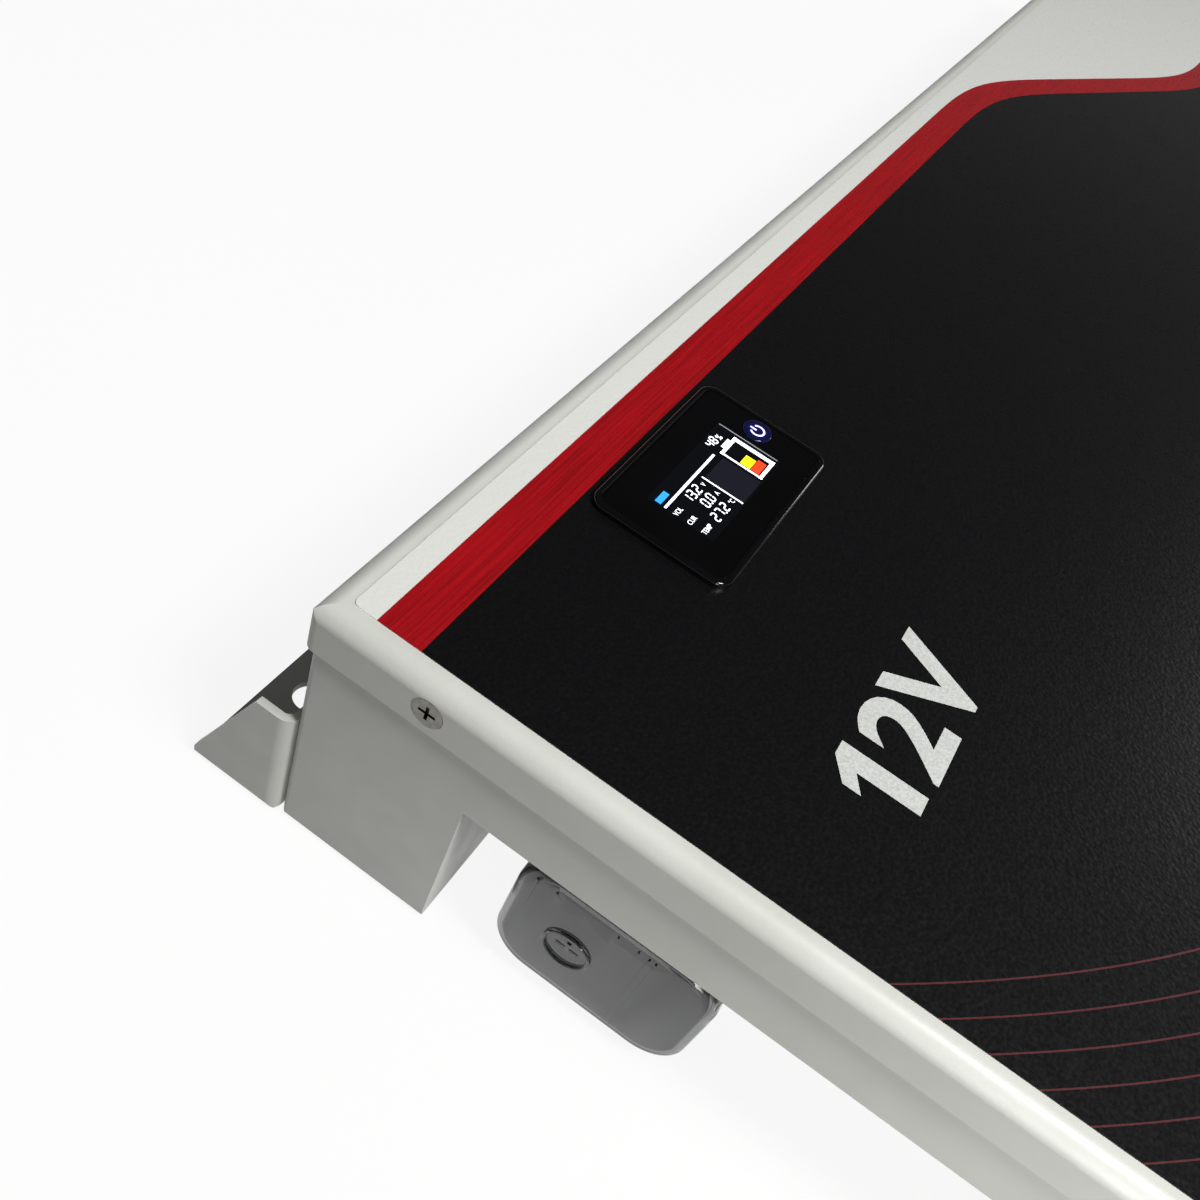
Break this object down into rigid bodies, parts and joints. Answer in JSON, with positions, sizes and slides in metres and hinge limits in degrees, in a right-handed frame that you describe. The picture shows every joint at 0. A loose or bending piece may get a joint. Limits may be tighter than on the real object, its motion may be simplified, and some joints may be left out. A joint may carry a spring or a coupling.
{
  "type": "deep cycle battery",
  "caption": "Slimline deep cycle leisure battery in a folded steel case, with a screen and power button, covered bolt terminals in a side bay and bolt-down feet.",
  "frame": {"origin": "middle of the back face, on the face the battery lies on", "axes": "+X along the length as the front is read, with the terminal bay at the -X end; +Y up as the front is read; +Z out of the front face"},
  "size_m": [0.7, 0.348, 0.0822],
  "materials": {
    "powder_coat": "fine satin powder coat",
    "foam": "closed-cell foam",
    "plated_steel": "bright nickel plate",
    "printed_film": "textured printed film",
    "display_plastic": "gloss moulding",
    "display_glass": "clear window",
    "screen": "colour screen",
    "circuit_board": "solder mask",
    "button_plastic": "gloss key",
    "ribbon": "flat cable",
    "insulator_plastic": "moulded, fine texture",
    "nylon": "natural nylon",
    "post_brass": "turned",
    "clear_plastic": "clear moulded plastic",
    "copper": "rolled copper",
    "cell_wrap": "heat-shrunk film",
    "epoxy_sheet": "glass-filled sheet",
    "component_black": "moulded",
    "spreader_aluminium": "extruded",
    "wire_red": "insulated wire"
  },
  "bodies": {
    "case": {"case_tray": "powder_coat", "bay_liner": "powder_coat", "front_lid": "powder_coat", "lid_gasket": "foam", "lid_screws": "plated_steel", "lid_nuts": "plated_steel", "front_label": "printed_film", "foot_top_left": "powder_coat", "foot_top_right": "powder_coat", "foot_bottom_left": "powder_coat", "foot_bottom_right": "powder_coat", "foot_screws": "plated_steel", "foot_nuts": "plated_steel", "display_frame": "display_plastic", "display_window": "display_glass", "lcd_panel": "screen", "display_board": "circuit_board", "button_switch": "plated_steel", "display_cable": "ribbon", "positive_plate": "insulator_plastic", "negative_plate": "insulator_plastic", "inner_collars": "nylon", "positive_post": "post_brass", "negative_post": "post_brass", "positive_washers": "plated_steel", "negative_washers": "plated_steel", "positive_bolt": "plated_steel", "negative_bolt": "plated_steel", "positive_nut": "plated_steel", "negative_nut": "plated_steel", "positive_strap": "copper", "negative_strap": "copper", "bms_strap": "copper", "cell_1": "cell_wrap", "cell_2": "cell_wrap", "cell_3": "cell_wrap", "cell_4": "cell_wrap", "cell_5": "cell_wrap", "cell_6": "cell_wrap", "cell_7": "cell_wrap", "cell_8": "cell_wrap", "cell_separators": "nylon", "series_busbars": "copper", "positive_busbar": "copper", "negative_busbar": "copper", "pole_nuts": "plated_steel", "back_pad": "foam", "side_foam": "foam", "end_blocks": "foam", "insulation_sheet": "epoxy_sheet", "bms_board": "circuit_board", "bms_standoffs": "nylon", "bms_transistors": "component_black", "bms_heat_spreader": "spreader_aluminium", "bms_parts": "component_black", "sensing_wires": "wire_red"},
    "button": {"power_button": "button_plastic"},
    "cover_positive": {"positive_cover": "clear_plastic"},
    "cover_negative": {"negative_cover": "clear_plastic"}
  },
  "joints": [
    {"name": "power_button_press", "type": "slide", "parent": "case", "child": "button", "axis": [0, 0, -1], "range_m": [0, 0.0006], "stiffness_N_per_m": 1500, "springref_m": -0.0004},
    {"name": "positive_cover_pull", "type": "slide", "parent": "case", "child": "cover_positive", "axis": [-1, 0, 0], "range_m": [0, 0.06]},
    {"name": "negative_cover_pull", "type": "slide", "parent": "case", "child": "cover_negative", "axis": [-1, 0, 0], "range_m": [0, 0.06]}
  ]
}
